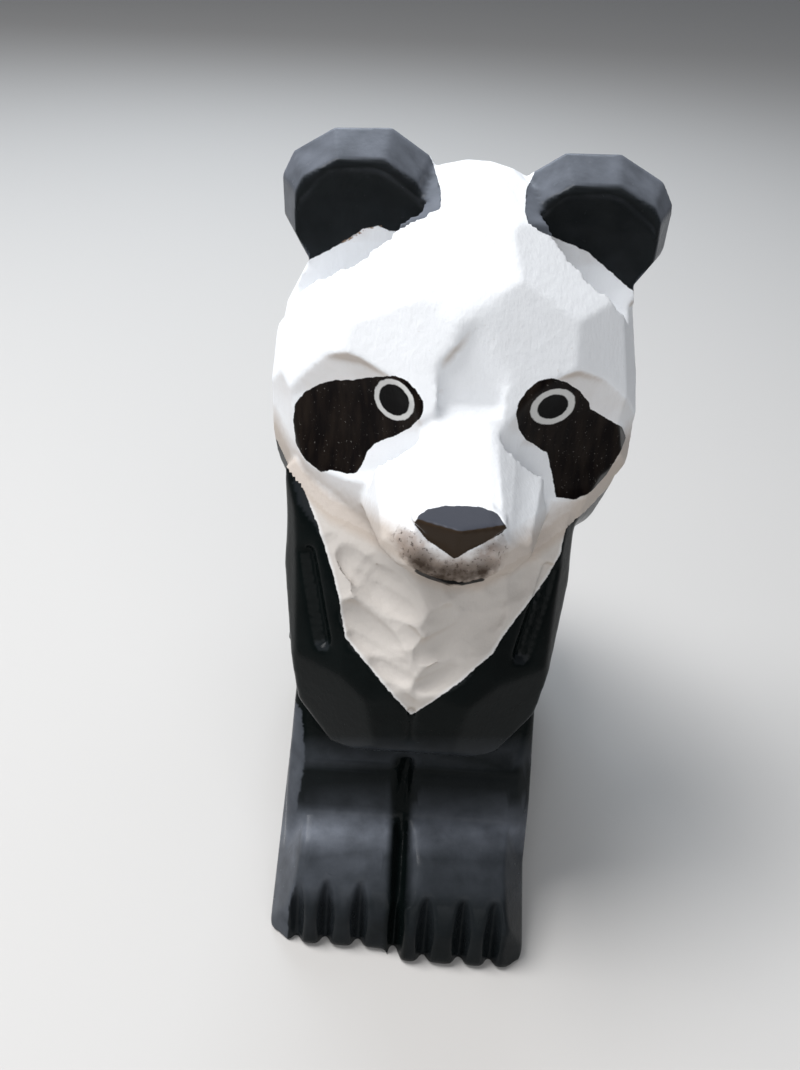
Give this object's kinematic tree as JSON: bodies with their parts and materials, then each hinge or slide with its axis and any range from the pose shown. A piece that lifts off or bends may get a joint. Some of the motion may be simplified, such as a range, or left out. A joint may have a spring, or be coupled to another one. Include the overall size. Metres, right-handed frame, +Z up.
{
  "type": "panda figurine",
  "caption": "Small hand-carved wooden panda sitting upright on its haunches, painted black and white, with knife facets all over.",
  "frame": {"origin": "on the flat underside, midway between the two sides of the body and midway between toes and tail", "axes": "+Z up, -Y the way the panda faces, +X to its left side, which is at the right of a viewer in front of it"},
  "size_m": [0.0532, 0.0955, 0.1174],
  "materials": {
    "painted_wood": "brush-painted, satin white with semi-gloss black"
  },
  "bodies": {
    "root": {"panda_figurine": "painted_wood"}
  },
  "joints": []
}
